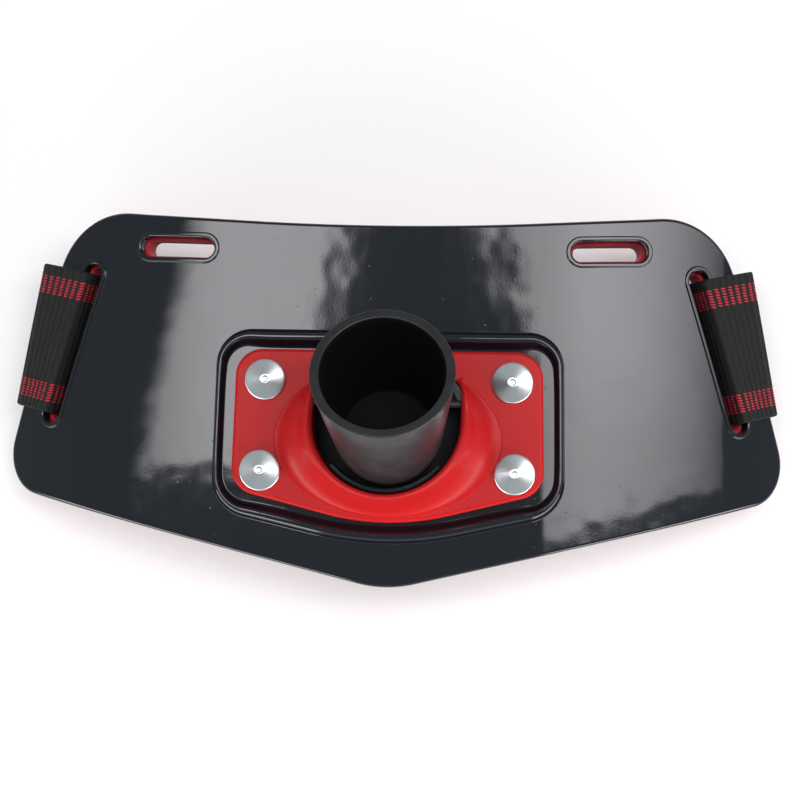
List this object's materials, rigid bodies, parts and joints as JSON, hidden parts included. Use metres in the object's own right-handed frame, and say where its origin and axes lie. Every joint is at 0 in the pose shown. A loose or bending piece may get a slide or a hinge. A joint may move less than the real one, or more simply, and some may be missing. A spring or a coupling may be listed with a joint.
{
  "type": "fishing fighting belt",
  "caption": "Fighting belt for fishing: bent plate with a foam back pad, a tilting rod cup in a riveted housing, and a webbing waist belt.",
  "frame": {"origin": "middle of the belt's footprint, on the surface that it lies on", "axes": "+X along the plate's width towards the wearer's left, +Y up the body, +Z away from the body, out of the plate's front"},
  "size_m": [0.2666, 0.1256, 0.096],
  "materials": {
    "shell": "glossy moulded plate with a faint moulding waviness",
    "foam": "matt closed-cell foam",
    "cover": "satin-gloss moulded",
    "cup": "satin moulded",
    "steel": "darkened, drawn",
    "rivet": "turned, bright",
    "webbing": "ribbed woven webbing with red dashes near both edges",
    "buckle": "moulded"
  },
  "bodies": {
    "plate": {"shell": "shell", "back_pad": "foam", "pivot_housing": "cover", "pivot_pin": "steel", "rivet_upper_right": "rivet", "rivet_upper_left": "rivet", "rivet_lower_right": "rivet", "rivet_lower_left": "rivet", "strap_left": "webbing", "strap_right": "webbing", "belt_buckle": "buckle"},
    "cup": {"rod_cup": "cup"}
  },
  "joints": [
    {"name": "cup_tilt", "type": "hinge", "parent": "plate", "child": "cup", "pos_m": [0, -0.0025, 0.0431], "axis": [-1, 0, 0], "range_deg": [0, 45]}
  ]
}
